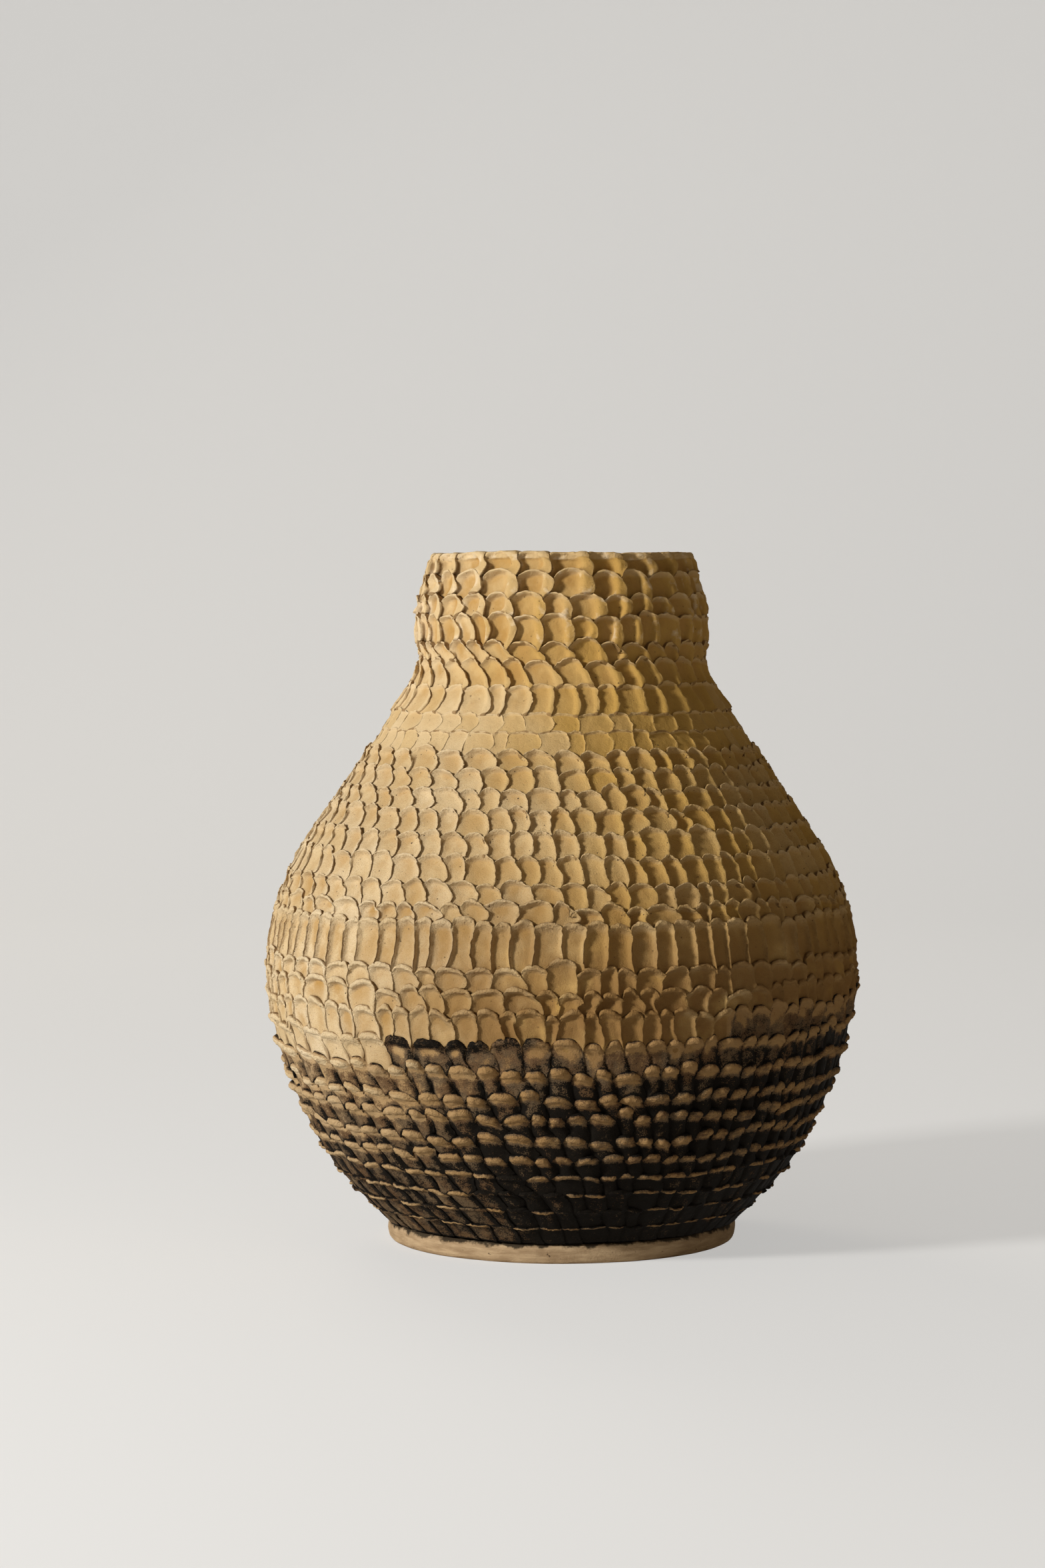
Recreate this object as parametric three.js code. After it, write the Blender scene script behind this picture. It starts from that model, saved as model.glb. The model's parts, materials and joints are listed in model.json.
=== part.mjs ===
// A coil-built stoneware vase: a flat clay slab, then coil after coil of clay stacked on its edge.
// Each coil was pressed down with a fingertip, which leaves a hollow face under a proud upper lip.
// Millimetres, +Z up, with the origin at the centre of the underside.

import * as THREE from "three";

// Base slab: the wall's heel overhangs its edge a little
const slabInset = 2;
const slabThickness = 8.6;
const slabEdgeRounding = 2.2;

// Outer wall, as stations from the slab up to the mouth: each one's radius and its rise above the last one
const heelRadius = 79.5;
const lowerBowlRadius = 100.5;
const lowerBowlRise = 22.4;
const upperBowlRadius = 120.5;
const upperBowlRise = 37;
const bellyRadius = 132.6;
const bellyRise = 50;
const shoulderRadius = 121;
const shoulderRise = 51;
const upperShoulderRadius = 98.5;
const upperShoulderRise = 34;
const neckBaseRadius = 77;
const neckBaseRise = 33;
const waistRadius = 65;
const waistRise = 21;
const collarRadius = 66;
const collarRise = 16;
const mouthRadius = 58.6;

// Clay wall
const wallThickness = 7.5;

// What the fingertip leaves on each coil
const lipProjection = 1.3;
const lipHeight = 2;
const hollowDepth = 1;

// The coils, from the slab up: how high each one stands once it is pressed down
const coilHeights = [
  8.1, 8.1, 8.4, 9, 8.1, 9, 9.9, 8.1, 11.4, 12, 12, 9.6, 9, 19.2, 6.6, 9, 11.1, 9.6, 9.3, 8.1,
  8.7, 7.2, 9, 7.8, 11.4, 10.5, 6.9, 12.6, 9, 11.4,
];
const rimCoilHeight = 8.4;

// Facets round the vase
const facets = 40;

// Colours of the fired clay
const buffClay = { color: 0xc9a873, roughness: 0.9, metalness: 0 };
const darkWashedClay = { color: 0x5b4a3c, roughness: 0.85, metalness: 0 };
const bareClay = { color: 0xb8966a, roughness: 0.9, metalness: 0 };
const darkWashHeight = 88;

const vaseHeight = slabThickness + coilHeights.reduce((sum, height) => sum + height, 0) + rimCoilHeight;

const slabRadius = heelRadius - slabInset;
const wallStations = [[slabThickness, heelRadius]];

function addStation(rise, radius) {
  const [height] = wallStations[wallStations.length - 1];
  wallStations.push([height + rise, radius]);
}

addStation(lowerBowlRise, lowerBowlRadius);
addStation(upperBowlRise, upperBowlRadius);
addStation(bellyRise, bellyRadius);
addStation(shoulderRise, shoulderRadius);
addStation(upperShoulderRise, upperShoulderRadius);
addStation(neckBaseRise, neckBaseRadius);
addStation(waistRise, waistRadius);
addStation(collarRise, collarRadius);
wallStations.push([vaseHeight, mouthRadius]);

// The wall's slope at one station: the mean of the slopes to its neighbours, weighted by their distance.
function slopeAt(index) {
  const [height, radius] = wallStations[index];
  const below = wallStations[index - 1];
  const above = wallStations[index + 1];
  const slopeBelow = below && (radius - below[1]) / (height - below[0]);
  const slopeAbove = above && (above[1] - radius) / (above[0] - height);
  if (!below) return slopeAbove;
  if (!above) return slopeBelow;
  const spanBelow = height - below[0];
  const spanAbove = above[0] - height;
  return (slopeBelow * spanAbove + slopeAbove * spanBelow) / (spanBelow + spanAbove);
}

// The outer wall's radius at a height: a cubic from station to station.
function wallRadius(height) {
  const passed = wallStations.filter((station) => station[0] <= height).length;
  const index = Math.min(Math.max(passed - 1, 0), wallStations.length - 2);
  const [lowHeight, lowRadius] = wallStations[index];
  const [highHeight, highRadius] = wallStations[index + 1];
  const span = highHeight - lowHeight;
  const t = (height - lowHeight) / span;
  const riseLow = slopeAt(index) * span;
  const riseHigh = slopeAt(index + 1) * span;
  return (
    (2 * t ** 3 - 3 * t ** 2 + 1) * lowRadius +
    (t ** 3 - 2 * t ** 2 + t) * riseLow +
    (3 * t ** 2 - 2 * t ** 3) * highRadius +
    (t ** 3 - t ** 2) * riseHigh
  );
}

// The inner wall keeps the wall's thickness, measured square to the outer wall.
function innerRadius(height) {
  const step = 1;
  const slope = (wallRadius(height + step) - wallRadius(height - step)) / (2 * step);
  return wallRadius(height) - wallThickness * Math.hypot(1, slope);
}

// A section of [radius, height] points, turned about the vertical axis. It starts and ends on the axis,
// or its last point is its first one again.
function turned(section) {
  const points = section.map(([radius, height]) => new THREE.Vector2(radius, height));
  return new THREE.LatheGeometry(points, facets).rotateX(Math.PI / 2);
}

function mesh(name, geometry, finish) {
  const made = new THREE.Mesh(geometry, new THREE.MeshStandardMaterial(finish));
  made.name = name;
  return made;
}

// The slab's underside is flat, and its lower edge is rubbed round.
function baseSlab() {
  return turned([
    [0, 0],
    [slabRadius - slabEdgeRounding, 0],
    [slabRadius, slabEdgeRounding],
    [slabRadius, slabThickness],
    [0, slabThickness],
  ]);
}

// One coil from its seat on the coil below to the seat it gives the next one.
function pressedCoil(seat, height) {
  const top = seat + height;
  const lipStart = top - lipHeight;
  const lipFoot = top - 2 * lipHeight;
  return turned([
    [innerRadius(seat), seat],
    [wallRadius(seat), seat],
    [wallRadius(lipFoot) - hollowDepth, lipFoot],
    [wallRadius(lipStart) + lipProjection, lipStart],
    [wallRadius(top) + lipProjection / 2, top],
    [innerRadius(top), top],
    [innerRadius(seat), seat],
  ]);
}

const vase = new THREE.Group();
vase.add(mesh("base_slab", baseSlab(), bareClay));

let seat = slabThickness;
coilHeights.forEach((height, index) => {
  const number = String(index + 1).padStart(2, "0");
  const finish = seat + height < darkWashHeight ? darkWashedClay : buffClay;
  vase.add(mesh(`wall_coil_${number}`, pressedCoil(seat, height), finish));
  seat += height;
});
vase.add(mesh("rim_coil", pressedCoil(seat, rimCoilHeight), buffClay));

export default vase;
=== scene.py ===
# %% [markdown]
# # A coil-built stoneware vase
# The vase is a clay slab with some thirty coils of clay stacked on its edge. The maker pressed and pushed
# each coil with a fingertip, print beside print, so the outside is covered in rows of hollow scales with
# raised tips. This lesson rebuilds that skin coil by coil around a fixed model of plain rings.

import json
import math

import bpy
import numpy as np
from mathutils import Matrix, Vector

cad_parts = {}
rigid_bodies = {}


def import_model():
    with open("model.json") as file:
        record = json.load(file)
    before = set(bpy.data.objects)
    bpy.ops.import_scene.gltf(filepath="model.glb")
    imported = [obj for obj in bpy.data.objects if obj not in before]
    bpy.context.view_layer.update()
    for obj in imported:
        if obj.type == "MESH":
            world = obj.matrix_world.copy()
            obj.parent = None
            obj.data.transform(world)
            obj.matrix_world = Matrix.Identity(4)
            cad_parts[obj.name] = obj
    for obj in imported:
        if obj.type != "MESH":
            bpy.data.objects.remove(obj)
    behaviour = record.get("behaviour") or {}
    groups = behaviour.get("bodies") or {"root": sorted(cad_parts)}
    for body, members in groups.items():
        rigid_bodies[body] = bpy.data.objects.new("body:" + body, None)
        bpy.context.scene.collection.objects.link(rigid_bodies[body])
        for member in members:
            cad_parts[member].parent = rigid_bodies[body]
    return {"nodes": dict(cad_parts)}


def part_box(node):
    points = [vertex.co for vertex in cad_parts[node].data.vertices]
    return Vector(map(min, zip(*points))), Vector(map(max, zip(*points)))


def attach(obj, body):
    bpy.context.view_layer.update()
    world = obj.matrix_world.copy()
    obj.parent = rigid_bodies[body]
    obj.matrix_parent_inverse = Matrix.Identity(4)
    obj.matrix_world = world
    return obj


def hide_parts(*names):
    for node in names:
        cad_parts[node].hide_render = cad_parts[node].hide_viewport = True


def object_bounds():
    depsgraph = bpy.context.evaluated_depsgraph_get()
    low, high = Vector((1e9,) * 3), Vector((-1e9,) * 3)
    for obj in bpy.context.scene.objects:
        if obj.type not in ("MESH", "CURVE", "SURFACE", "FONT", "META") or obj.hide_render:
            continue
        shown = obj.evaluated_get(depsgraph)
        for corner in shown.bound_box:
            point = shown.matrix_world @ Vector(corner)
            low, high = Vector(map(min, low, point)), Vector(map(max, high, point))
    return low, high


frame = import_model()
cad_low, cad_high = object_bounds()
MM = 0.001
FULL_TURN = 2 * math.pi
print("box of the fixed model:", tuple(cad_low), tuple(cad_high))

# %% [markdown]
# The camera comes first. It stands in front of the vase at the height of the neck and looks level, with its
# lens shifted, so uprights stay upright, the mouth is seen edge on and the foot as a curve. The rows and
# columns are pixels of the photograph's frame.

# %% Camera
FRAME_WIDTH = 1568
FRAME_HEIGHT = 2352
FOCAL_PIXELS = 5500
MM_PER_PIXEL = 0.3
HORIZON_ROW = 938
FOOT_ROW = 1852
AXIS_COLUMN = 843
SENSOR_MM = 36

camera_distance = FOCAL_PIXELS * MM_PER_PIXEL * MM
camera_height = (FOOT_ROW - HORIZON_ROW) * MM_PER_PIXEL * MM

camera_data = bpy.data.cameras.new("camera")
camera_data.sensor_width = SENSOR_MM
camera_data.lens = SENSOR_MM * FOCAL_PIXELS / FRAME_HEIGHT
camera_data.shift_x = (FRAME_WIDTH / 2 - AXIS_COLUMN) / FRAME_HEIGHT
camera_data.shift_y = (HORIZON_ROW - FRAME_HEIGHT / 2) / FRAME_HEIGHT
camera = bpy.data.objects.new("camera", camera_data)
camera.location = (0, -camera_distance, camera_height)
camera.rotation_euler = (math.pi / 2, 0, 0)
bpy.context.scene.collection.objects.link(camera)
bpy.context.scene.camera = camera
print(f"camera {camera_distance:.3f} m away, {camera_height:.3f} m up, lens {camera_data.lens:.1f} mm")

# %% [markdown]
# The fixed model says where each coil sits and how wide the wall is there. Those seats are the stations of
# two smooth curves, the outer and the inner wall, and the outer one is measured by its length from the
# slab up, because prints keep their size along the clay and not along the height.

# %% Seats of the coils
COILS = sorted(name for name in frame["nodes"] if name.startswith("wall_coil")) + ["rim_coil"]
LIP_OF_FIXED_RIM = 0.65
END_LAYER = 0.05
WALL_SAMPLES = 2000
# The skin is pressed in a little, so that its proudest tips still fit in the box of the fixed model
PRESSED_IN = 1.1


def section_of(node):
    """Seat height, top height and the inner and outer radius at both, in millimetres."""
    mesh = frame["nodes"][node].data
    points = np.zeros(len(mesh.vertices) * 3, np.float32)
    mesh.vertices.foreach_get("co", points)
    points = points.reshape(-1, 3) / MM
    radius = np.hypot(points[:, 0], points[:, 1])
    low, high = points[:, 2].min(), points[:, 2].max()
    at_seat = radius[points[:, 2] < low + END_LAYER]
    at_top = radius[points[:, 2] > high - END_LAYER]
    return low, high, at_seat.min(), at_seat.max(), at_top.min(), at_top.max()


sections = [section_of(node) for node in COILS]
seats = np.array([s[0] for s in sections] + [sections[-1][1]])
outer_radii = np.array([s[3] for s in sections] + [sections[-1][5] - LIP_OF_FIXED_RIM])
inner_radii = np.array([s[2] for s in sections] + [sections[-1][4]])


def smooth_curve(x, stations, values):
    """Cubic from station to station, with each station's slope taken from its two neighbours."""
    slopes = np.gradient(values, stations)
    i = np.clip(np.searchsorted(stations, x, side="right") - 1, 0, len(stations) - 2)
    span = stations[i + 1] - stations[i]
    t = (x - stations[i]) / span
    return (
        (2 * t**3 - 3 * t**2 + 1) * values[i]
        + (t**3 - 2 * t**2 + t) * slopes[i] * span
        + (3 * t**2 - 2 * t**3) * values[i + 1]
        + (t**3 - t**2) * slopes[i + 1] * span
    )


heights = np.linspace(seats[0], seats[-1], WALL_SAMPLES)
radii = smooth_curve(heights, seats, outer_radii)
slopes_of_wall = np.gradient(radii, heights)
lengths = np.concatenate([[0], np.cumsum(np.hypot(np.diff(heights), np.diff(radii)))])
seat_lengths = np.interp(seats, heights, lengths)
print(f"{len(COILS)} coils, wall {lengths[-1]:.0f} mm long from slab to rim")


def wall_point(length, out):
    """Radius and height of a point `out` mm over the pressed wall, at that length along the wall."""
    out = out - PRESSED_IN
    height = np.interp(length, lengths, heights)
    radius = np.interp(length, lengths, radii)
    slope = np.interp(length, lengths, slopes_of_wall)
    steep = np.hypot(1, slope)
    return radius + out / steep, height - out * slope / steep


# %% [markdown]
# Clay is never quite even, so everything is pushed about a little. Lattice noise is enough for that: random
# pushes on the corners of a grid of cells, blended smoothly across each cell, for all points at once.

# %% Noise
NOISE_CELLS = 32
PUSHES = np.random.default_rng(7).uniform(-1, 1, (NOISE_CELLS, NOISE_CELLS, NOISE_CELLS, 3))


def lattice_push(points, cell):
    """A push from -1 to 1 along x, y and z at each point, which changes over about one cell."""
    p = points / cell
    base = np.floor(p).astype(int)
    t = p - base
    t = t * t * (3 - 2 * t)
    total = 0
    for corner in np.ndindex(2, 2, 2):
        index = (base + corner) % NOISE_CELLS
        weight = np.prod(np.where(corner, t, 1 - t), axis=-1)
        total = total + weight[..., None] * PUSHES[index[..., 0], index[..., 1], index[..., 2]]
    return total


def softer_max(a, b, rounding=0.12):
    """The larger of two values, with the corner between them rounded."""
    return (a + b + np.sqrt((a - b) ** 2 + rounding)) / 2


def smooth_step(low, high, x):
    """0 at low and 1 at high, with a smooth blend between. Low may be over high: it then falls with x."""
    t = np.clip((x - low) / (high - low), 0, 1)
    return t * t * (3 - 2 * t)


# %% [markdown]
# The prints change from foot to mouth. On the lower bowl they end in thick round knobs and lean over, over
# the belly there is one row of long flutes, above it come crisp scales, then two smooth rows, and the neck
# has deep prints as wide as the fingertip. Each quality has a value at some coils and is blended between.

# %% How the prints change with height
# A line is the number of a coil and then its qualities, in the order of the list below. In millimetres are
# the width of a print, the rise of its arched tip, how far the tip stands proud, the radius of the bead
# along it, the height of the swelling under it, the depth of the dish (less than 0: a round stem), the
# height of the raised right side, the height of the ridges at both sides (less than 0: valleys) and the
# width of the raised side or the valleys. Then come shares: how far the sides blend away at the foot, their
# lean, and the fading of the tip at its sides. The last two are the flatness of the dish and unevenness.
STATIONS = np.array([
    [1, 10.0, 0.8, 0.9, 0.6, 1.6, 0.2, 0.3, -0.5, 1.3, 0.0, 0.3, 1.0, 2, 1.0],
    [2, 10.2, 1.8, 1.3, 0.9, 2.0, 0.1, 0.3, -0.8, 1.4, 0.0, 0.35, 1.1, 2, 1.1],
    [4, 10.6, 3.0, 1.7, 1.3, 2.8, 0.0, 0.3, -1.1, 1.5, 0.0, 0.35, 1.1, 2, 1.1],
    [5, 10.6, 4.0, 2.1, 1.7, 4.0, -0.3, 0.3, -1.4, 1.7, 0.0, 0.35, 1.2, 2, 1.0],
    [6, 10.6, 4.8, 2.4, 2.0, 4.8, -0.4, 0.3, -1.5, 1.8, 0.0, 0.35, 1.2, 2, 1.0],
    [9, 10.8, 5.0, 2.4, 2.0, 5.0, -0.4, 0.3, -1.5, 1.8, 0.0, 0.3, 1.2, 2, 1.0],
    [10, 10.8, 4.6, 2.0, 1.6, 4.6, 0.2, 0.4, -0.8, 1.5, 0.1, 0.2, 1.0, 2, 1.2],
    [11, 10.6, 4.2, 1.8, 1.3, 3.6, 0.8, 0.6, 0.4, 1.4, 0.2, 0.1, 0.8, 3, 1.3],
    [12, 11.4, 3.8, 1.7, 1.1, 3.0, 1.1, 0.6, 0.4, 1.5, 0.2, 0.0, 0.7, 3, 1.4],
    [13, 11.6, 3.4, 1.5, 1.0, 2.8, 1.1, 0.45, 0.5, 1.5, 0.2, 0.0, 0.7, 3, 1.2],
    [14, 9.6, 3.4, 1.5, 1.2, 3.8, 1.0, 0.15, 1.2, 0.7, 0.1, 0.0, 0.5, 4, 0.85],
    [15, 10.8, 3.6, 1.2, 0.65, 2.2, 1.3, 0.65, 0.2, 1.4, 0.3, 0.1, 0.5, 3, 1.4],
    [16, 10.8, 3.5, 1.15, 0.4, 1.6, 1.3, 0.64, 0.15, 1.3, 0.4, 0.2, 0.35, 3, 0.9],
    [19, 11.4, 3.6, 1.15, 0.36, 1.6, 1.3, 0.68, 0.15, 1.3, 0.4, 0.2, 0.35, 3, 0.9],
    [21, 11.8, 3.8, 1.15, 0.36, 1.6, 1.3, 0.72, 0.15, 1.4, 0.4, 0.2, 0.35, 3, 0.8],
    [22, 11.8, 4.6, 1.3, 0.4, 1.7, 1.5, 0.8, 0.2, 1.5, 0.3, 0.2, 0.35, 3, 0.6],
    [23, 10.2, 1.6, 0.2, 0.25, 1.0, 0.3, 0.1, 0.12, 0.8, 0.4, 0.0, 0.6, 3, 1.0],
    [24, 11.0, 1.6, 0.2, 0.25, 1.0, 0.3, 0.1, 0.12, 0.8, 0.4, 0.0, 0.6, 3, 1.0],
    [25, 11.0, 2.6, 0.7, 0.35, 1.4, 0.8, 0.65, 0.4, 1.9, 0.2, 0.1, 0.5, 4, 0.9],
    [26, 11.8, 4.4, 1.0, 0.4, 1.8, 1.2, 1.1, 0.1, 2.9, 0.3, 0.6, 0.4, 4, 0.7],
    [27, 11.8, 4.4, 1.0, 0.4, 1.8, 1.2, 1.0, 0.1, 2.9, 0.2, 0.35, 0.4, 4, 0.7],
    [28, 11.6, 3.0, 1.2, 0.5, 1.8, 1.5, 1.2, 0.15, 3.4, 0.0, 0.1, 0.5, 4, 0.9],
    [29, 12.6, 3.8, 1.3, 0.5, 2.0, 1.8, 1.4, 0.15, 4.0, 0.0, 0.0, 0.4, 4, 0.8],
    [30, 15.4, 4.8, 1.3, 0.5, 2.2, 2.0, 1.5, 0.15, 4.8, 0.0, 0.0, 0.4, 4, 0.7],
    [31, 15.8, 0.3, 0.8, 2.0, 2.8, 2.6, 1.3, 0.6, 4.4, 0.0, 0.0, 0.1, 6, 0.5],
])
QUALITIES = [
    "width", "arch", "lip", "bead", "swelling", "dish", "step", "ridge", "post", "blend", "lean", "fade",
    "flatness", "chance",
]
print(len(STATIONS), "stations of", len(QUALITIES), "qualities")

# %% [markdown]
# A course is one coil's row of prints. It takes its qualities from the stations and then draws how each
# print differs from the next, always with the same seed. Up to the shoulder the prints are wider on the
# left of the vase, but for the flutes, and above the flutes their sides bow.

# %% One row of prints
ACROSS = np.array([
    -1, -0.95, -0.87, -0.75, -0.59, -0.4, -0.2, 0.01, 0.22, 0.42, 0.6, 0.75, 0.86, 0.93, 0.975, 1,
])
ACROSS_WITH_POST = np.array([
    -1, -0.97, -0.91, -0.82, -0.69, -0.53, -0.36, -0.2, -0.05, 0.08, 0.18, 0.27, 0.35, 0.43, 0.52, 0.62, 0.72,
    0.81, 0.88, 0.94, 0.975, 1,
])
FIRST_SEED = 100
WIDE_POST = 2.5
FLUTES = 14
TOP_OF_SHOULDER = 22
WIDER_ON_THE_LEFT = 0.5
TALL_ONES = 0.07
TALLER_BY = 0.5
BOW = 0.09
BOW_ON_THE_LEFT = 0.07
BOW_GROWS_OVER = (14, 16)
WAVE_ORDERS = (2, 5, 9)
WAVE_HEIGHT = 0.75
DOME_POWER = 2.2
DOME_LEVEL = 0.65
UNDER_THE_RIM = 1.7
UNDER_THE_TOP = 0.25
RIM_NOTCH = 0.7


class Course:
    """One coil's row of prints: where its edges are and how each print differs from the next."""

    def __init__(self, index):
        self.index = index
        self.is_rim = index == len(COILS) - 1
        rng = np.random.default_rng(FIRST_SEED + index)
        for column, quality in enumerate(QUALITIES, 1):
            setattr(self, quality, np.interp(index + 1, STATIONS[:, 0], STATIONS[:, column]))
        self.across = ACROSS_WITH_POST if self.post > WIDE_POST else ACROSS
        self.radius = np.interp((seats[index] + seats[index + 1]) / 2, heights, radii)
        self.count = int(round(FULL_TURN * self.radius / self.width))
        self.start = rng.uniform(0, FULL_TURN)
        rough_angle = self.start + np.arange(self.count) * FULL_TURN / self.count
        shares = 1 + 0.3 * self.chance * rng.uniform(-1, 1, self.count)
        if index + 1 != FLUTES and index + 1 <= TOP_OF_SHOULDER:
            shares += WIDER_ON_THE_LEFT * np.clip(-np.sin(rough_angle), 0, 1) ** 2
        self.edges = np.concatenate([[0], np.cumsum(shares)]) / shares.sum() * FULL_TURN
        self.rise = rng.normal(0, 0.16 * self.chance, self.count)
        self.rise += TALLER_BY * (rng.random(self.count) < TALL_ONES * (self.chance - 0.4))
        self.depth = 1 + 0.35 * self.chance * rng.uniform(-1, 1, self.count)
        self.proud = 1 + 0.3 * self.chance * rng.uniform(-1, 1, self.count)
        self.skew = rng.normal(0, 0.16 * self.chance, self.count)
        self.pitch = rng.normal(0, 0.2 * self.chance, self.count)
        self.drop = 1 + 0.45 * self.chance * rng.uniform(-1, 1, self.count)
        self.sides = 1 + 0.4 * self.chance * rng.uniform(-1, 1, self.count)
        self.tone = rng.uniform(0, 1, self.count)
        on_the_left = np.clip(-np.sin(self.start + self.edges[:-1]), 0, 1)
        share_of_lean = np.clip(0.6 - 0.6 * np.sin(self.start + self.edges[:-1]), 0, 1)
        self.edge_lean = rng.normal(0, 0.08 * self.chance, self.count) - self.lean * share_of_lean
        self.edge_bow = rng.normal(0, 0.07 * self.chance, self.count)
        self.edge_bow += (BOW + BOW_ON_THE_LEFT * on_the_left) * smooth_step(*BOW_GROWS_OVER, index + 1)
        self.wave_turns = rng.uniform(0, FULL_TURN, 3)

    def wave(self, angle):
        """The row's slow rise and fall round the vase, in millimetres. The rim has none."""
        total = 0
        for order, turn in zip(WAVE_ORDERS, self.wave_turns):
            total = total + np.sin(order * angle + turn) / order
        return total * (0 if self.is_rim else WAVE_HEIGHT * self.chance)

    def place(self, angle):
        """Which print an angle falls on, and how far across it, from -1 to 1."""
        turn = (angle - self.start) % FULL_TURN
        j = np.clip(np.searchsorted(self.edges, turn, side="right") - 1, 0, self.count - 1)
        return j, 2 * (turn - self.edges[j]) / (self.edges[j + 1] - self.edges[j]) - 1

    def crest(self, angle, x, j):
        """Length along the wall of the tips: an arch over each print with a notch between prints."""
        if self.is_rim:
            level = seat_lengths[-1] - UNDER_THE_TOP
            return level - self.arch * np.abs(x) ** 3 - RIM_NOTCH * np.abs(x) ** 12
        bent = x - self.skew[j] * (1 - x * x)
        dome = np.clip(1 - np.abs(bent) ** DOME_POWER, 0, 1) ** (0.84 - 0.16 * self.bead) - DOME_LEVEL
        level = seat_lengths[self.index + 1] - (UNDER_THE_RIM if self.index == len(COILS) - 2 else 0)
        return level + self.wave(angle) + self.arch * (dome + self.rise[j])

    def crest_at(self, angle):
        """The same line of tips, at angles that needn't be the row's own columns."""
        j, x = self.place(angle)
        return self.crest(angle, x, j)


courses = [Course(index) for index in range(len(COILS))]
print("prints in each row:", [course.count for course in courses])
print("prints in all:", sum(course.count for course in courses))

# %% [markdown]
# A print is a shallow dish with an arched, raised tip. Its right side stands over its neighbour and its
# left side is tucked under the other one, so round the vase the surface is a saw with rounded teeth. Those
# few ideas, added up, are the whole relief. In the formulas x goes from -1 at a print's left side to 1 at
# its right one, y from 0 at the foot of its face to 1 at its tip, and j is its number in the row.

# %% The relief of one print
TILT = 0.3
RIDGE_WIDTH = 1.8
TUCK_DEPTH = 0.15
TUCK_WIDTH = 0.7
FOOT_OUT = 0.35
FADE_POWER = 2.4
SIDES_IN_TIP = 0.7
SIDES_IN_RIM = 0.45
OVERHANG = 0.5


def side_relief(course, x, y, j):
    """What the sides add: a raised right side over the tucked left side, and a ridge or a valley at both."""
    from_right = (1 - x) * course.width / 2
    from_left = (1 + x) * course.width / 2
    raised = 1 - smooth_step(0.65 * course.post, 1.1 * course.post, from_right)
    domed = 1 - 0.3 * (from_right / course.post - 0.5) ** 2 * 4
    swell = 1 + 0.22 * np.sin(FULL_TURN * (y + 3 * course.tone[j]))
    step = course.step * course.drop[j] * swell
    side = np.where(x < 0, course.sides[j], course.sides[(j + 1) % course.count])
    ridge_width = min(course.post, RIDGE_WIDTH)
    ridge = course.ridge * side * np.exp(-((np.minimum(from_left, from_right) / ridge_width) ** 2))
    tuck = TUCK_DEPTH * min(course.step, 1) * np.exp(-((from_left / TUCK_WIDTH) ** 2))
    return TILT * min(course.step, 1) * x + step * raised * np.maximum(domed, 0) + ridge - tuck


def hollow_share(course, x):
    """1 in the middle of the scoop and 0 at its sides, where the scoop ends at the raised right side."""
    narrowed = smooth_step(0.3, 0.5, course.step)
    right_end = 1 - narrowed * 1.8 * course.post / course.width
    across_scoop = np.clip(2 * (x + 1) / (right_end + 1) - 1, -1, 1)
    return 1 - np.abs(across_scoop) ** course.flatness


def face_out(course, x, y, j):
    """Height over the wall at share x across and y up: dish, sides and the foot over the next row's tips."""
    dish = course.dish * course.depth[j] * hollow_share(course, x)
    grown = 1 - course.blend * (1 - smooth_step(0, 0.75, y))
    foot = FOOT_OUT * (1 - y) ** 2
    return foot + (side_relief(course, x, y, j) - dish) * grown + course.pitch[j] * (y - 0.5)


def tip_out(course, x, j):
    """Height of the tip's outermost line: proud in the middle, and level with the row above at its ends."""
    cap = course.lip * course.proud[j] * (1 - course.fade * np.abs(x) ** FADE_POWER)
    valley_share = smooth_step(0.4, 1.2, -course.ridge)
    lowest = FOOT_OUT * 0.6 - 0.25 * smooth_step(0.7, 1, course.fade) - 0.5 * valley_share
    share_of_sides = SIDES_IN_RIM if course.is_rim else SIDES_IN_TIP
    return softer_max(cap + side_relief(course, x, 1, j) * share_of_sides, lowest)


def tip_thickness(course, x):
    """Radius of the bead along the tip, less at its sides. The rim keeps nearly all of it."""
    return course.bead * (1 - (0.1 if course.is_rim else 0.6) * np.abs(x) ** 3)


def scoop_in_tip(course, x, j, turn):
    """How deep the scoop still cuts into the rounded rim at a turn of it. Other scoops end below the tip."""
    if not course.is_rim:
        return 0 * x
    arched = np.clip((x + 0.3) * (1 + 0.9 * smooth_step(-0.5, 1.0, turn)) - 0.3, -1, 1)
    left_over = 1 - smooth_step(0.3, 1.15, turn)
    return course.dish * course.depth[j] * hollow_share(course, arched) * left_over


def print_angles(course, x, y):
    """Angle of each column at share y up the face: the sides lean, bow, and overhang on the right."""
    j = np.arange(course.count)
    after = (j + 1) % course.count
    mean_width = FULL_TURN / course.count

    def shift(k):
        return (course.edge_lean[k] * (y - 1) + course.edge_bow[k] * np.sin(math.pi * y)) * mean_width

    left = course.edges[:-1] + shift(j)
    right = course.edges[1:] + shift(after)
    share = (x[None, :] + 1) / 2
    over = OVERHANG * min(course.step, 1.1) * course.drop[:, None] * smooth_step(0.7, 1, x)[None, :]
    over = over * smooth_step(0, 0.15, y) / course.radius
    return (course.start + left[:, None] * (1 - share) + right[:, None] * share + over).ravel()


# %% [markdown]
# Each coil is one closed ring of quads. Going round the vase the columns follow the prints, so an edge
# between two prints is a true step in the mesh. Going round the section there is a skirt behind the tips
# of the row below, the dished face, the rounded tip, the hidden back, and the smoothed inner wall.

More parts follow.
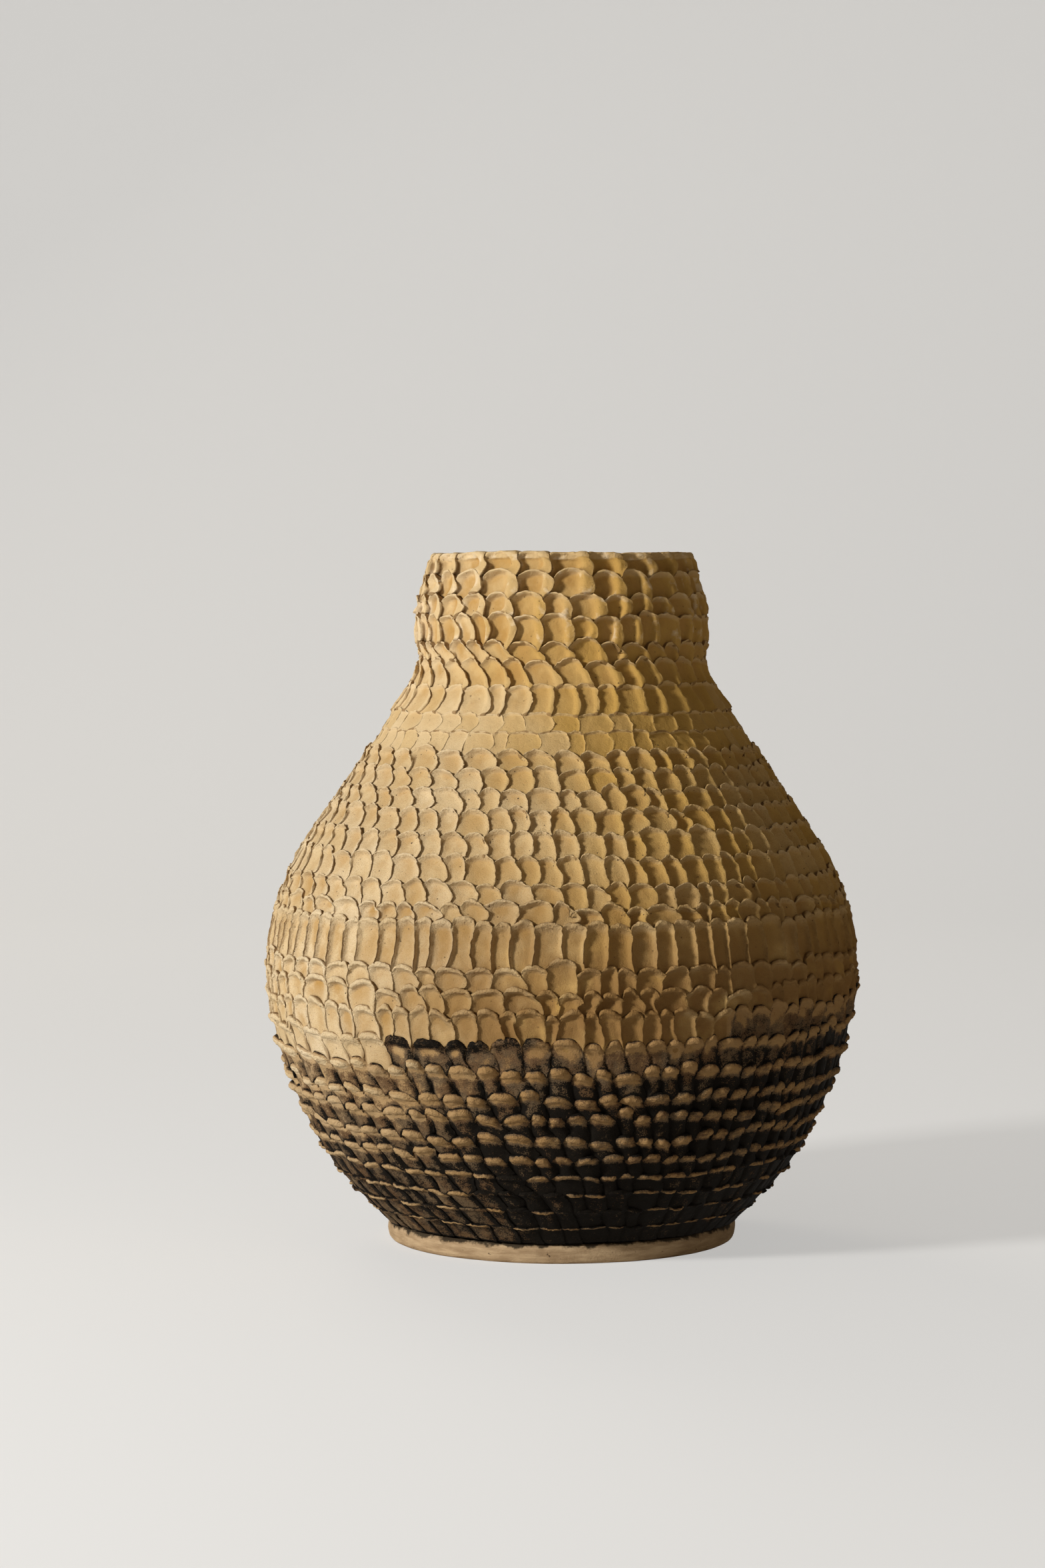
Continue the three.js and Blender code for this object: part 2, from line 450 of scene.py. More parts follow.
# %% The section of one coil
FACE_STEPS = np.array([0, 0.05, 0.13, 0.23, 0.34, 0.45, 0.55, 0.64, 0.72, 0.79, 0.85, 0.9, 0.95, 1])
BEAD_TURNS = np.radians([-62, -35, -8, 20, 50, 85, 130])
RIM_BEAD_TURNS = np.radians([-25, -5, 15, 34, 53, 72, 90])
FOOT_DROP = 0.5
SKIRT_DROP = 1.3
SKIRT_DEPTH = 2.2
BACK_DEPTH = 2.6
BACK_DROP_IN_BEADS = 2.4
ROUND_CORNERS = 0.6
CREVICE_WIDTH = 0.6
CRUMBLING_WIDTH = 0.8
INNER_STEPS = (1, 0.67, 0.33, 0)
INNER_BULGE = 0.5
RIM_TOP_STEPS = (0.3, 0.6, 0.85)
RIM_EDGE = 1.2


def ring_rows(course):
    """Each row of the section as angle, radius, height, y and the masks, one value for every column.

    The masks are hollow in the dish, cap on the swelling and the tip, crevice at the foot and in the tucks,
    and edge on the raised sides and the tip.
    """
    x = np.tile(course.across, course.count)
    j = np.repeat(np.arange(course.count), len(course.across))
    right_side = smooth_step(0.8, 1, x)
    left_tuck = smooth_step(-0.86, -1, x) * min(max(course.step * 1.3, course.ridge), 1)
    rows = []

    def add(angle, radius, height, y=1.0, hollow=0.0, cap=0.0, crevice=0.0, edge=0.0):
        values = (angle, radius, height, y, hollow, cap, crevice, edge)
        rows.append(np.stack([value + 0 * angle for value in values]))

    def foot_line(angle):
        if course.index == 0:
            return 0 * angle + 0.05
        return courses[course.index - 1].crest_at(angle) - FOOT_DROP

    low_angle = print_angles(course, course.across, 0)
    drop = SKIRT_DROP if course.index else 0
    radius, height = wall_point(foot_line(low_angle) - drop, -SKIRT_DEPTH + 0 * low_angle)
    add(low_angle, radius, height, 0, crevice=1)

    top_angle = print_angles(course, course.across, 1)
    crest = course.crest(top_angle, x, j)
    tip = tip_out(course, x, j)
    thick = tip_thickness(course, x)
    bead_turns = RIM_BEAD_TURNS if course.is_rim else BEAD_TURNS
    edge_length = crest - thick + thick * math.sin(bead_turns[0])
    edge_out = tip - thick + thick * math.cos(bead_turns[0]) - scoop_in_tip(course, x, j, bead_turns[0])
    swelling = course.swelling * (1 + ROUND_CORNERS * np.abs(x) ** 3)
    from_side = (1 - np.abs(x)) * course.width / 2
    valley = np.clip(-course.ridge, 0, 1) * np.exp(-((from_side / course.post) ** 2))
    lift_power = 1.7 - 0.5 * course.bead
    crumbling = np.clip(course.ridge * 1.2, 0, 1) * np.exp(-((from_side / CRUMBLING_WIDTH) ** 2))
    for y in FACE_STEPS[:-1]:
        angle = print_angles(course, course.across, y)
        foot = foot_line(angle)
        face_length = np.maximum(edge_length - foot, 1)
        out = face_out(course, x, y, j)
        from_tip = (1 - y) * face_length + 1.5 * thick
        lift = np.clip(1 - (1 - y) * face_length / np.maximum(swelling - 1.5 * thick, 0.8), 0, 1)
        out = out * (1 - lift**lift_power) + edge_out * lift**lift_power
        radius, height = wall_point(foot + (edge_length - foot) * y, out)
        in_tucks = np.maximum(left_tuck, valley) * (1 - lift)
        at_foot = np.exp(-((y * face_length / CREVICE_WIDTH) ** 2))
        add(
            angle,
            radius,
            height,
            y,
            hollow=np.clip((0.4 - out) / 1.8, 0, 1) * (1 - np.abs(x) ** 4),
            cap=smooth_step(1.3, 0.7, from_tip / course.swelling) * (1 - np.abs(x) ** 4),
            crevice=np.maximum(in_tucks, at_foot),
            edge=np.maximum(np.maximum(right_side, crumbling) * smooth_step(0, 0.2, y), 0.7 * lift),
        )
    for turn in bead_turns:
        out = tip - thick + thick * math.cos(turn) - scoop_in_tip(course, x, j, turn)
        radius, height = wall_point(crest - thick + thick * math.sin(turn), out)
        front = 1 if course.is_rim else 1 - smooth_step(0.5, 1.7, turn)
        add(top_angle, radius, height, cap=front * (1 - np.abs(x) ** 6), crevice=1 - front, edge=1)

    seat, top = seats[course.index], seats[course.index + 1]
    if course.is_rim:
        top = rows[-1][2].min() - 1.0
        inner_top = smooth_curve(np.array([top]), seats, inner_radii)[0]
        last_radius, last_height = rows[-1][1], rows[-1][2]
        for share in RIM_TOP_STEPS:
            level = last_height + 0.12 * math.sin(math.pi * share) - 0.25 * share**4
            radius = last_radius + (inner_top + RIM_EDGE / 3 - last_radius) * share
            add(top_angle, radius, level, cap=0.5)
    else:
        radius, height = wall_point(crest - BACK_DROP_IN_BEADS * thick, -BACK_DEPTH + 0 * crest)
        add(top_angle, radius, height, crevice=1)
    for share in INNER_STEPS:
        z = seat + (top - seat) * share
        inner = smooth_curve(np.array([z]), seats, inner_radii)[0]
        add(top_angle, inner - INNER_BULGE * math.sin(math.pi * share), z, hollow=0.3)
    return np.stack(rows, 1), j


def grid_faces(n_rows, n_columns):
    """Quads of a grid that closes both ways round, with their corners in an order that faces outward."""
    row = np.arange(n_rows)[:, None]
    column = np.arange(n_columns)[None, :]
    row_after = (row + 1) % n_rows
    column_after = (column + 1) % n_columns
    corners = [
        row * n_columns + column,
        row * n_columns + column_after,
        row_after * n_columns + column_after,
        row_after * n_columns + column,
    ]
    return np.stack(corners, -1).reshape(-1, 4)


print("rows round the section of the rim:", ring_rows(courses[-1])[0].shape[1])

# %% [markdown]
# The relief so far is too regular for clay. Four sizes of noise bend it: slow bends that keep the outline,
# lumps and fine waves that move the faces, and the finest, which tears at the edges. Towards the rim the
# clay was smoothed, so the top coils are less ragged.

# %% Unevenness of the clay
BEND_CELL = 16
LUMP_CELL = 6
FINE_CELL = 2.1
RAGGED_CELL = 1.2
RAGGED_UP_TO_COIL = 32
RAGGED_FADES_OVER = 6


def pushed_about(points, outward, strength=1.0, edge=0.0):
    """Points in millimetres after the unevenness of the clay: slow bends, lumps and ragged edges."""
    slow = lattice_push(points, BEND_CELL)
    lumps = lattice_push(points + 37, LUMP_CELL)
    fine = lattice_push(points + 71, FINE_CELL)
    ragged = lattice_push(points + 13, RAGGED_CELL)
    radial = (slow * outward).sum(-1, keepdims=True) * outward
    moved = 0.45 * (slow - radial) + 0.25 * radial + 0.3 * lumps + (0.12 + 0.14 * edge) * fine
    return points + strength * (moved + 0.42 * edge * ragged)


print("sizes of the unevenness in mm:", BEND_CELL, LUMP_CELL, FINE_CELL, RAGGED_CELL)

# %% [markdown]
# A dark wash was brushed on low down and wiped off again. It stays in the valleys, on the stems and on
# whole prints here and there. Its share grows towards the right of the vase, partly as wash and partly as
# painted shade of the darker right side. Its upper edge climbs to the right and sits lower at the far left.
# The first row under it has bare ovals and, on the left, black tips.

# %% Where the wash stays
# In millimetres: the height of the wash's upper edge, its climb to the right, its sag at the far left, and
# how far under that edge the wash is at its strongest
WASH_TOP = 102
WASH_CLIMB = 17
WASH_SAG = 5
FULL_DEPTH = 45
OVAL_MIDDLE = 0.68
OVAL_HALF_HEIGHT = 0.2
OVAL_HALF_WIDTH = 0.6
NO_WASH = -0.6


def wash_left(course, angle, x, y, cap, crevice, tone):
    """How much wash stays at each point: most in the valleys and low down, least on the wiped tips."""
    right = np.sin(angle)
    climb = WASH_CLIMB * smooth_step(0.1, 0.95, right)
    sag = WASH_SAG * smooth_step(-0.7, -0.85, right)
    top = WASH_TOP + climb - sag
    top = top + 2 * np.sin(3 * angle + 1) + 1.5 * np.sin(11 * angle) + 5 * (tone - 0.5)
    below = top - seats[course.index + 1]
    washed = smooth_step(-1, 0, below)
    first = washed * smooth_step(9.5, 8.5, below) * smooth_step(-0.8, -0.7, right)
    depth = smooth_step(0, FULL_DEPTH, below)
    low = smooth_step(50, 30, seats[course.index + 1])
    wiped = cap * (tone > 0.45 * low)
    # More wash towards the right: partly the wash itself, partly painted shade of the vase's darker right
    # side
    level = 0.4 + 0.45 * depth + 0.55 * smooth_step(-0.6, 0.05, right) + 0.9 * crevice - 1.05 * wiped
    from_oval = ((y - OVAL_MIDDLE) / OVAL_HALF_HEIGHT) ** 2 + (x / OVAL_HALF_WIDTH) ** 2
    oval = np.exp(-from_oval) * (tone > 0.5)
    dipped = smooth_step(0.25, 0.5, tone) * (1 - smooth_step(-0.15, 0.0, right))
    level_of_first = 0.8 + cap * (1.35 * dipped - 0.85) + 0.6 * crevice - 1.25 * oval
    level = level * (1 - first) + level_of_first * first
    return level * washed + NO_WASH * (1 - washed)


print("the wash ends", WASH_TOP - WASH_SAG, "to", WASH_TOP + WASH_CLIMB, "mm over the table")

# %% [markdown]
# A ring's mesh is filled from whole arrays. The masks, the wash and each print's own tone go along as
# values on its points, for the material to read.

# %% The mesh of one coil


def ring_mesh(course, name):
    """The ring as a mesh, with its masks and each print's own tone as values on its points."""
    (angle, radius, height, y, hollow, cap, crevice, edge), j = ring_rows(course)
    outward = np.stack([np.sin(angle), -np.cos(angle), 0 * angle], -1)
    points = outward * radius[..., None]
    points[..., 2] = height
    raggedness = min(1, (RAGGED_UP_TO_COIL - course.index) / RAGGED_FADES_OVER)
    points = pushed_about(points, outward, edge=edge[..., None] * raggedness)
    points[..., 2] = np.minimum(points[..., 2], seats[-1])
    n_rows, n_columns = angle.shape
    faces = grid_faces(n_rows, n_columns)
    mesh = bpy.data.meshes.new(name)
    mesh.vertices.add(n_rows * n_columns)
    mesh.vertices.foreach_set("co", (points * MM).astype(np.float32).ravel())
    mesh.loops.add(faces.size)
    mesh.loops.foreach_set("vertex_index", faces.astype(np.int32).ravel())
    mesh.polygons.add(len(faces))
    mesh.polygons.foreach_set("loop_start", np.arange(len(faces), dtype=np.int32) * 4)
    mesh.update(calc_edges=True)
    mesh.shade_smooth()
    tone = np.broadcast_to(course.tone[j], angle.shape)
    wash = wash_left(course, angle, np.tile(course.across, course.count), y, cap, crevice, tone)
    masks = {"hollow": hollow, "cap": cap, "crevice": crevice, "edge": edge, "tone": tone, "wash": wash}
    for mask, values in masks.items():
        layer = mesh.attributes.new(mask, "FLOAT", "POINT")
        layer.data.foreach_set("value", np.ascontiguousarray(values, np.float32).ravel())
    return mesh


def add_piece(name, mesh, material, node):
    """Puts a finished mesh in the scene as the stand-in of one node of the fixed model."""
    piece = bpy.data.objects.new(name, mesh)
    bpy.context.scene.collection.objects.link(piece)
    mesh.materials.append(material)
    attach(piece, "root")
    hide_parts(node)
    return piece


# %% [markdown]
# Shader maths reads best as sums and products, so one small class wraps a socket and turns the operators
# into Math nodes. Colours go through Mix nodes, which keep them coloured.

# %% Shader sockets as Python values


class Wire:
    """A socket of a material's node tree that can be added, multiplied, stepped and mixed."""

    def __init__(self, tree, socket=None):
        self.tree = tree
        self.socket = socket

    def node(self, kind, settings=None, inputs=None, output=0):
        """A new node: settings first, then values or wires for its sockets, by name or number."""
        made = self.tree.nodes.new(kind)
        for key, value in (settings or {}).items():
            setattr(made, key, value)
        for key, value in (inputs or {}).items():
            if isinstance(value, Wire):
                self.tree.links.new(value.socket, made.inputs[key])
            else:
                made.inputs[key].default_value = value
        return Wire(self.tree, made.outputs[output])

    def maths(self, operation, other=0.0):
        """A Math node of this value and another value or wire."""
        return self.node("ShaderNodeMath", {"operation": operation}, {0: self, 1: other})

    def __add__(self, other):
        return self.maths("ADD", other)

    __radd__ = __add__

    def __mul__(self, other):
        return self.maths("MULTIPLY", other)

    __rmul__ = __mul__

    def __sub__(self, other):
        return self.maths("SUBTRACT", other)

    def __rsub__(self, other):
        return self * -1.0 + other

    def step(self, low, high):
        """0 below low and 1 above high, with a smooth rise between."""
        settings = {"interpolation_type": "SMOOTHSTEP"}
        return self.node("ShaderNodeMapRange", settings, {0: self, 1: low, 2: high, 3: 0.0, 4: 1.0})

    def tint(self, first, second):
        """A colour between first and second, with this value as the share of the second."""
        settings = {"data_type": "RGBA", "clamp_factor": True}
        return self.node("ShaderNodeMix", settings, {0: self, 6: first, 7: second}, output=2)


# %% [markdown]
# After firing, the clay is buff, dry and dull, and dotted with dark grog. Its raised tips and edges are
# painted paler, a painted highlight. Its dishes and the right side of the vase are painted a deeper straw
# and ochre, as painted shade, and its creases are darker with dust and painted shade. The wash is a brown
# film where little of it stays and black where much does, and more of it on the right is partly painted
# shade.
# The slab was rubbed, so it shows long level scratches, and its top is painted near black.

# %% Clay finishes
PALE = (0.66, 0.535, 0.355, 1)
STRAW = (0.455, 0.272, 0.068, 1)
OCHRE = (0.40, 0.23, 0.07, 1)
# Dust in the fine specks, and painted shade in the creases
DUST_AND_SHADE = (0.22, 0.13, 0.055, 1)
GRIT = (0.06, 0.04, 0.025, 1)
BLOOM = (0.74, 0.62, 0.45, 1)
# The film of rubbed wash; its larger share on the right side is painted shade
RUBBED_WASH_AND_SHADE = (0.32, 0.19, 0.078, 1)
STAIN = (0.235, 0.13, 0.045, 1)
WASH_BLACK = (0.009, 0.007, 0.005, 1)
WASH_BROWN = (0.125, 0.083, 0.046, 1)
WASH_RED = (0.12, 0.068, 0.033, 1)
BARE_LIGHT = (0.47, 0.335, 0.195, 1)
BARE_DARK = (0.30, 0.20, 0.11, 1)
CLAY_SHINE = 0.05

# Heights over the table, in metres, over which a change in the clay comes or goes
FINER_GRAIN = (0.20, 0.25)
SHOULDER_BEGINS = (0.15, 0.17)
SHOULDER_ENDS = (0.235, 0.255)
NECK_BEGINS = (0.235, 0.27)
BLOOM_BEGINS = (0.262, 0.27)
STAIN_ENDS = (0.110, 0.190)
DARK_TOP_BEGINS = (0.0068, 0.0084)


def start_material(name):
    """A new material with its shader, its place on the object and a noise maker that reads that place."""
    material = bpy.data.materials.new(name)
    material.use_nodes = True
    tree = material.node_tree
    shader = tree.nodes["Principled BSDF"]
    place = Wire(tree).node("ShaderNodeTexCoord", output=3)

    def noise(size_mm, detail=3.0, roughness=0.55):
        inputs = {"Vector": place, "Scale": 1 / (size_mm * MM), "Detail": detail, "Roughness": roughness}
        return place.node("ShaderNodeTexNoise", None, inputs)

    return material, tree, shader, place, noise


def finish_clay(tree, shader, colour, roughness, relief, depth_mm):
    """Joins a colour, a roughness and a fine relief to the shader of a dry, dull clay."""
    tree.links.new(colour.socket, shader.inputs["Base Color"])
    tree.links.new(roughness.socket, shader.inputs["Roughness"])
    shader.inputs["Specular IOR Level"].default_value = CLAY_SHINE
    inputs = {"Strength": 1.0, "Distance": depth_mm * MM, "Height": relief}
    bump = relief.node("ShaderNodeBump", None, inputs)
    tree.links.new(bump.socket, shader.inputs["Normal"])


def pressed_clay(name):
    """The clay with the prints: buff, straw and ochre, then sand, dust and grog, and the wash over them.

    The deeper straw and ochre on the right side and in the dishes, and the darker wash on the right, are
    painted shade; the dark in the creases is dust and painted shade; the paler tips are a painted highlight.
    """
    material, tree, shader, place, noise = start_material(name)

    def mask(which):
        return place.node("ShaderNodeAttribute", {"attribute_name": which}, output=2)

    def grog(cell_mm, size, chosen):
        """Dark grains, at most one in each cell of that size."""
        inputs = {"Vector": place, "Scale": 1 / (cell_mm * MM)}
        distance = place.node("ShaderNodeTexVoronoi", None, inputs)
        colour_of_cell = place.node("ShaderNodeTexVoronoi", None, inputs, output=1)
        lot = place.node("ShaderNodeSeparateXYZ", None, {0: colour_of_cell})
        return (1 - distance.step(size * 0.7, size)) * lot.step(chosen, chosen + 0.02)

    hollow, cap, crevice, tone = mask("hollow"), mask("cap"), mask("crevice"), mask("tone")
    edge_mask = mask("edge")
    height = place.node("ShaderNodeSeparateXYZ", None, {0: place}, output=2)
    across = place.node("ShaderNodeSeparateXYZ", None, {0: place}, output=0)

    broad = noise(70)
    patches = noise(14, 4)
    sand = noise(0.5, 3, 0.7)
    dots = grog(3.2, 0.10, 0.6) + grog(9, 0.055, 0.5) + grog(1.5, 0.16, 0.75) * 0.5
    coarse = 1 - height.step(*FINER_GRAIN) * 0.65
    # How strong the painted shade in the dishes is: weaker on the shoulder
    dish_shade_strength = 1 - height.step(*SHOULDER_BEGINS) * (1 - height.step(*SHOULDER_ENDS)) * 0.4
    # The right half of the neck is painted deeper straw and ochre as painted shade
    neck = height.step(*NECK_BEGINS) * across.step(-0.07, 0.02)
    # Random patches and tone of the clay, plus a deeper straw on the right side of the vase as painted shade
    straw_and_shade_share = broad.step(0.35, 0.65) * 0.2 + tone * 0.25 + across.step(-0.12, 0.05) * 0.7 + neck * 0.2
    colour = straw_and_shade_share.tint(PALE, STRAW)
    colour = (neck * 0.3).tint(colour, OCHRE)
    # The dishes are painted ochre in patches, as painted shade
    colour = (hollow * patches.step(0.35, 0.6) * dish_shade_strength).tint(colour, OCHRE)
    # The raised tips and edges are painted paler, as a painted highlight
    colour = (cap * 0.2 + edge_mask * 0.1).tint(colour, PALE)
    colour = (sand.step(0.48, 0.66) * coarse * 0.45).tint(colour, OCHRE)
    colour = (noise(0.35, 2, 0.6).step(0.56, 0.68) * coarse * 0.4).tint(colour, DUST_AND_SHADE)
    # The creases, tucks and foot of each face are painted darker: dust there, and painted shade
    colour = (crevice.step(0.2, 0.9) * 0.8).tint(colour, DUST_AND_SHADE)
    bloom = height.step(*BLOOM_BEGINS) * noise(7, 4).step(0.53, 0.68) * (1 - hollow.step(0.2, 0.5))
    colour = (bloom * 0.4).tint(colour, BLOOM)
    colour = (dots * (0.3 + coarse * 0.6)).tint(colour, GRIT)
    stained = (1 - height.step(*STAIN_ENDS)) * across.step(-0.11, -0.01) * noise(18, 3).step(0.2, 0.55)
    colour = stained.tint(colour, STAIN)
    # The rubbed wash film where wash was, painted darker on the right of the vase as painted shade
    rubbed_wash_and_shade_share = mask("wash").step(-0.5, -0.3) * (0.6 + across.step(-0.06, 0.06) * 0.35)
    colour = rubbed_wash_and_shade_share.tint(colour, RUBBED_WASH_AND_SHADE)

    level = mask("wash") + (noise(22, 3) - 0.5) * 1.2 + (noise(3, 3) - 0.5) * 1.3
    speckle = noise(0.55, 3, 0.75) - 0.5
    brown = noise(13, 3).step(0.42, 0.6).tint(WASH_BROWN, WASH_RED)
    colour = (level + speckle * 1.6).step(0.1, 0.7).tint(colour, brown)
    black = (level + speckle * 2.0).step(0.8, 1.2)
    colour = black.tint(colour, WASH_BLACK)

    roughness = 0.86 + 0.08 * broad - 0.12 * black
    relief = sand * 0.45 * coarse + noise(3.5, 3) * 0.7 - dots * 0.2
    relief = relief + edge_mask * noise(1.3, 2, 0.6) * 1.1 * coarse
    finish_clay(tree, shader, colour, roughness, relief, 0.8)
    return material


def rubbed_clay(name):
    """The clay of the slab: light and dark scratches, grit, and a near-black band along its top."""
    material, tree, shader, place, noise = start_material(name)
    streaks = place.node("ShaderNodeMapping", None, {"Vector": place, "Scale": (1, 1, 6)})
    inputs = {"Vector": streaks, "Scale": 70.0, "Detail": 5.0, "Roughness": 0.65}
    scratches = place.node("ShaderNodeTexNoise", None, inputs)
    height = place.node("ShaderNodeSeparateXYZ", None, {0: place}, output=2)
    grit = noise(1.6, 2, 0.5).step(0.72, 0.76)
    colour = scratches.step(0.32, 0.68).tint(BARE_DARK, BARE_LIGHT)
    colour = (noise(6, 4).step(0.5, 0.75) * 0.3).tint(colour, BARE_DARK)
    colour = (grit * 0.8).tint(colour, GRIT)
    # The top of the slab is painted near black, with a ragged lower edge
    dark_top = (height + (noise(7, 4, 0.65) - 0.5) * 0.008).step(*DARK_TOP_BEGINS)
    colour = (dark_top * 0.9).tint(colour, WASH_BLACK)
    roughness = 0.8 + 0.1 * scratches
    relief = scratches * 0.6 + noise(0.9, 3) * 0.3 - grit * 1.2
    finish_clay(tree, shader, colour, roughness, relief, 0.5)
    return material


pressed = pressed_clay("pressed stoneware")
rubbed = rubbed_clay("rubbed stoneware")
print("nodes in the two clays:", len(pressed.node_tree.nodes), len(rubbed.node_tree.nodes))

# %% [markdown]
# With the rows, the mesh and the clay at hand, the coils are made one by one. Each takes the place of one
# ring of the fixed model.

# %% Make the coils
for course, node in zip(courses, COILS):
    add_piece("pressed_" + node, ring_mesh(course, "pressed_" + node), pressed, node)
coils = [piece for piece in bpy.data.objects if piece.name.startswith("pressed_")]
faces_of_coils = [len(coil.data.polygons) for coil in coils]
print("triangles of the coils:", 2 * sum(faces_of_coils), "most in one:", 2 * max(faces_of_coils))

# %% [markdown]
# The slab is a disc of clay with a rubbed edge. It is a profile turned round the axis, with the same
# unevenness on it, and closed at both centres by a fan of triangles.

# %% The slab
SLAB_COLUMNS = 560
SLAB_ROUNDING = 2.2
SLAB_BULGE = 0.5
SLAB_UNEVENNESS = 0.8


def slab_profile():
    """Radius and height from near the centre of the underside, round the edge, to near the top's centre."""
    low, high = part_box("base_slab")
    radius, thick = high.x / MM, high.z / MM
    flat = radius - SLAB_ROUNDING
    underside = [(flat * share, 0.0) for share in (0.25, 0.6, 0.85, 0.97)]
    corner = [
        (flat + SLAB_ROUNDING * math.sin(turn), SLAB_ROUNDING * (1 - math.cos(turn)))
        for turn in np.radians([15, 40, 65, 88])
    ]
    side = [
        (radius + SLAB_BULGE * math.sin(math.pi * share), SLAB_ROUNDING + (thick - SLAB_ROUNDING) * share)
        for share in (0.2, 0.4, 0.6, 0.8)
    ]
    top = [(radius - 0.4, thick), (radius * 0.9, thick), (radius * 0.6, thick), (radius * 0.25, thick)]
    return np.array(underside + corner + side + top), thick


def slab_mesh():
    """The profile turned round the axis. Its side is uneven, and its underside and top stay flat."""
    profile, thick = slab_profile()
    turns = np.arange(SLAB_COLUMNS) * FULL_TURN / SLAB_COLUMNS
    radius, angle = np.meshgrid(profile[:, 0], turns, indexing="ij")
    height = np.broadcast_to(profile[:, 1][:, None], radius.shape)
    outward = np.stack([np.sin(angle), -np.cos(angle), 0 * angle], -1)
    even_points = outward * radius[..., None]
    even_points[..., 2] = height
    moved = pushed_about(even_points, outward, SLAB_UNEVENNESS)
    free = np.sin(math.pi * np.clip(height / thick, 0, 1)) ** 0.5
    points = even_points + (moved - even_points) * free[..., None]
    n_rows, n_columns = radius.shape
    quads = grid_faces(n_rows, n_columns)[: (n_rows - 1) * n_columns]
    low_centre, high_centre = n_rows * n_columns, n_rows * n_columns + 1
    last = (n_rows - 1) * n_columns
    fans = [[low_centre, (i + 1) % n_columns, i] for i in range(n_columns)]
    fans += [[high_centre, last + i, last + (i + 1) % n_columns] for i in range(n_columns)]
    vertices = np.concatenate([points.reshape(-1, 3), [[0, 0, 0], [0, 0, thick]]]) * MM
    mesh = bpy.data.meshes.new("rubbed_slab")
    mesh.from_pydata(vertices.tolist(), [], quads.tolist() + fans)
    mesh.update(calc_edges=True)
    mesh.shade_smooth()
    return mesh


slab = add_piece("rubbed_slab", slab_mesh(), rubbed, "base_slab")
print("faces of the slab:", len(slab.data.polygons))

# %% [markdown]
# The stage is a plain pale floor that runs up into a backdrop. The camera sees it a little brighter than
# it is lit, so that it stays pale without more light on the vase, and it keeps the vase's shadow.

# %% Floor and backdrop
STAGE_COLOUR = (0.74, 0.73, 0.71, 1)
STAGE_GLOW = (0.86, 0.85, 0.83, 1)
GLOW_SHARE = 0.55


def seen_share(start):
    """1 where the camera looks, also in a reflection or through glass, and 0 for the light on the vase."""
    camera_ray = start.node("ShaderNodeLightPath", output=0)
    glossy_ray = start.node("ShaderNodeLightPath", output=3)
    through_ray = start.node("ShaderNodeLightPath", output=6)
    return camera_ray.maths("MAXIMUM", glossy_ray).maths("MAXIMUM", through_ray)


def stage_material(name):
    """A dull pale surface, mixed with a glow of its own where it is seen."""
    material = bpy.data.materials.new(name)
    material.use_nodes = True
    tree = material.node_tree
    shader = tree.nodes["Principled BSDF"]
    shader.inputs["Base Color"].default_value = STAGE_COLOUR
    shader.inputs["Roughness"].default_value = 0.9
    shader.inputs["Specular IOR Level"].default_value = 0.1
    start = Wire(tree)
    lit = Wire(tree, shader.outputs[0])
    glow = start.node("ShaderNodeEmission", None, {"Color": STAGE_GLOW})
    mixed = start.node("ShaderNodeMixShader", None, {0: seen_share(start) * GLOW_SHARE, 1: lit, 2: glow})
    tree.links.new(mixed.socket, tree.nodes["Material Output"].inputs["Surface"])
    return material


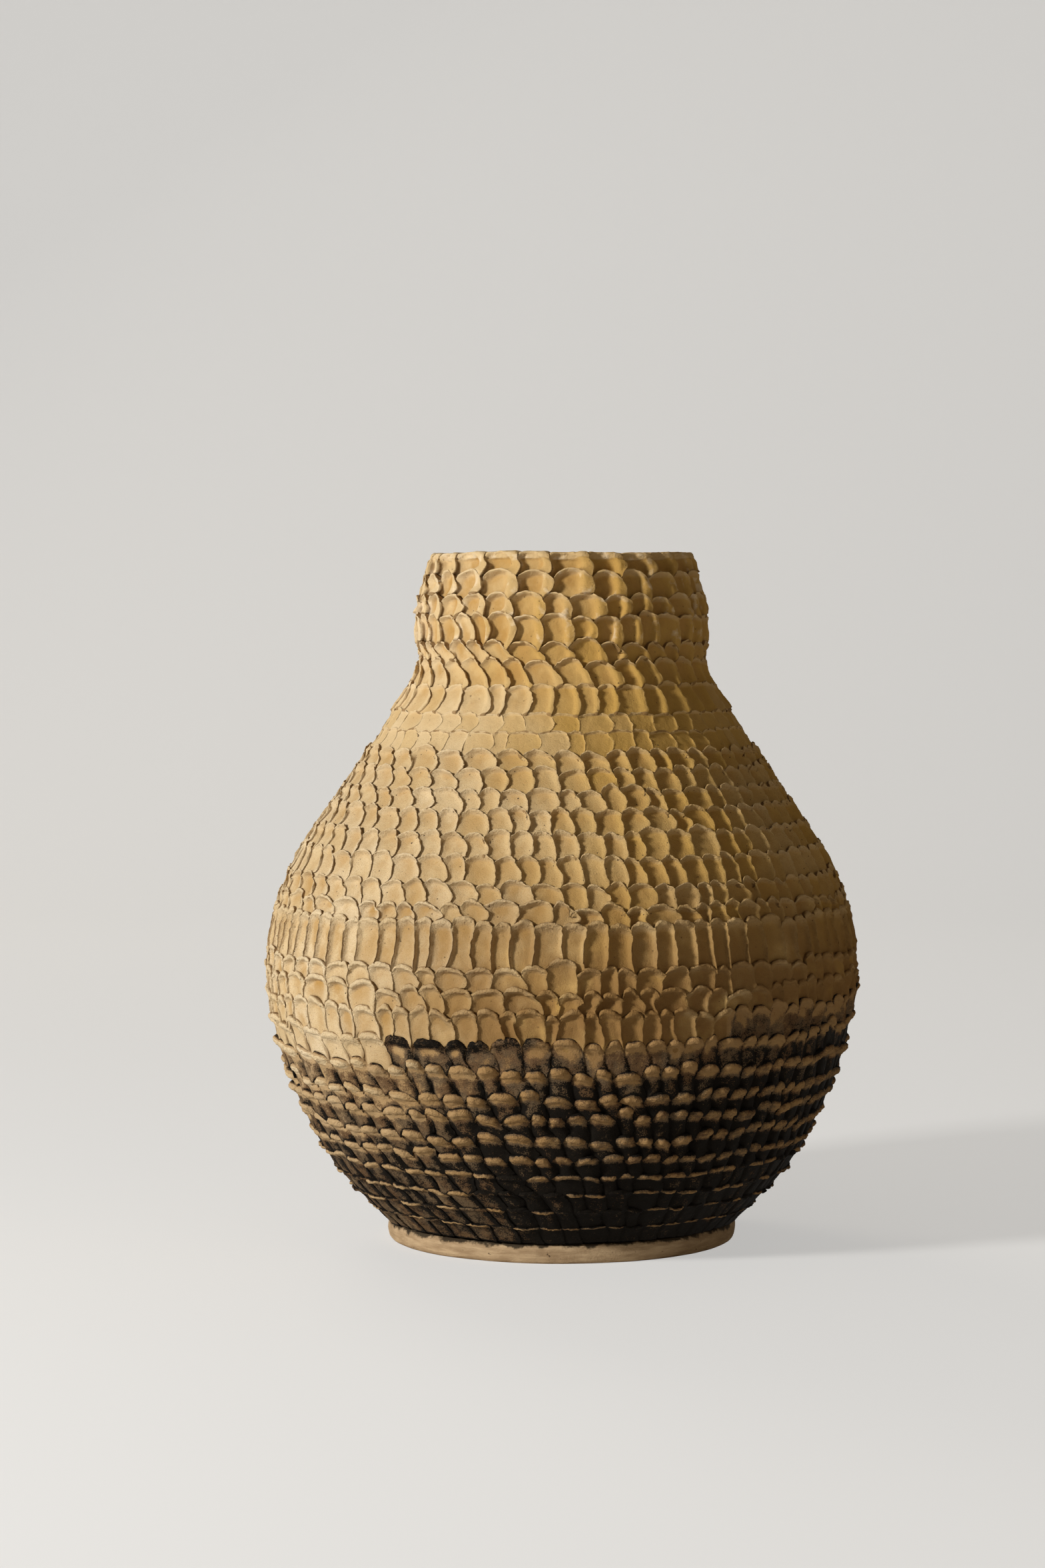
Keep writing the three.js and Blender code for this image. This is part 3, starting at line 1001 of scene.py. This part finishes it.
def sweep_mesh():
    """Floor and backdrop: flat in front, a quarter circle at the back, then straight up."""
    half_width = 4.0
    front, back, bend, top = -3.0, 1.8, 0.8, 4.0
    steps = [(front, 0.0), (back, 0.0)]
    steps += [
        (back + bend * math.sin(turn), bend - bend * math.cos(turn))
        for turn in np.radians(np.arange(5, 91, 5))
    ]
    steps += [(back + bend, top)]
    vertices = [(x, y, z) for y, z in steps for x in (-half_width, half_width)]
    faces = [(2 * i, 2 * i + 1, 2 * i + 3, 2 * i + 2) for i in range(len(steps) - 1)]
    mesh = bpy.data.meshes.new("sweep")
    mesh.from_pydata(vertices, [], faces)
    mesh.update()
    mesh.shade_smooth()
    return mesh


sweep = bpy.data.objects.new("sweep", sweep_mesh())
sweep.data.materials.append(stage_material("pale sweep"))
bpy.context.scene.collection.objects.link(sweep)
print("the stage has", len(sweep.data.polygons), "faces")

# %% [markdown]
# A soft box on the left makes the light and shade of the prints. A weak warm one on the right and one
# behind keep the far sides from going black. The world adds a dim warm light, and where it is seen, past
# the edges of the stage, it is pale.

# %% Lamps and world
WORLD_COLOUR = (1, 0.89, 0.75, 1)
WORLD_LIGHT = 0.12
WORLD_AS_SEEN = 0.75


def area_lamp(name, place, size, power, colour):
    """A square soft box that points at the middle of the vase."""
    data = bpy.data.lights.new(name, "AREA")
    data.shape = "SQUARE"
    data.size = size
    data.energy = power
    data.color = colour
    lamp = bpy.data.objects.new(name, data)
    aim = Vector((0, 0, (cad_low.z + cad_high.z) / 2))
    lamp.location = place
    lamp.rotation_euler = (aim - Vector(place)).to_track_quat("-Z", "Y").to_euler()
    bpy.context.scene.collection.objects.link(lamp)


area_lamp("key_lamp", place=(-1.52, -1.10, 0.84), size=0.3, power=45, colour=(1, 0.995, 0.98))
area_lamp("fill_lamp", place=(1.8, -1.5, 0.8), size=0.9, power=3.2, colour=(1, 0.78, 0.52))
area_lamp("back_lamp", place=(-0.9, 1.9, 1.5), size=0.9, power=13, colour=(1, 0.92, 0.8))

world = bpy.data.worlds.new("studio")
bpy.context.scene.world = world
world.use_nodes = True
background = world.node_tree.nodes["Background"]
background.inputs["Color"].default_value = WORLD_COLOUR
background.inputs["Strength"].default_value = WORLD_LIGHT
dim = Wire(world.node_tree, background.outputs[0])
pale = dim.node("ShaderNodeBackground", None, {"Color": STAGE_GLOW, "Strength": WORLD_AS_SEEN})
seen = dim.node("ShaderNodeMixShader", None, {0: seen_share(dim), 1: dim, 2: pale})
world.node_tree.links.new(seen.socket, world.node_tree.nodes["World Output"].inputs["Surface"])
bpy.context.scene.view_settings.view_transform = "Standard"
print("lamps:", len(bpy.data.lights))
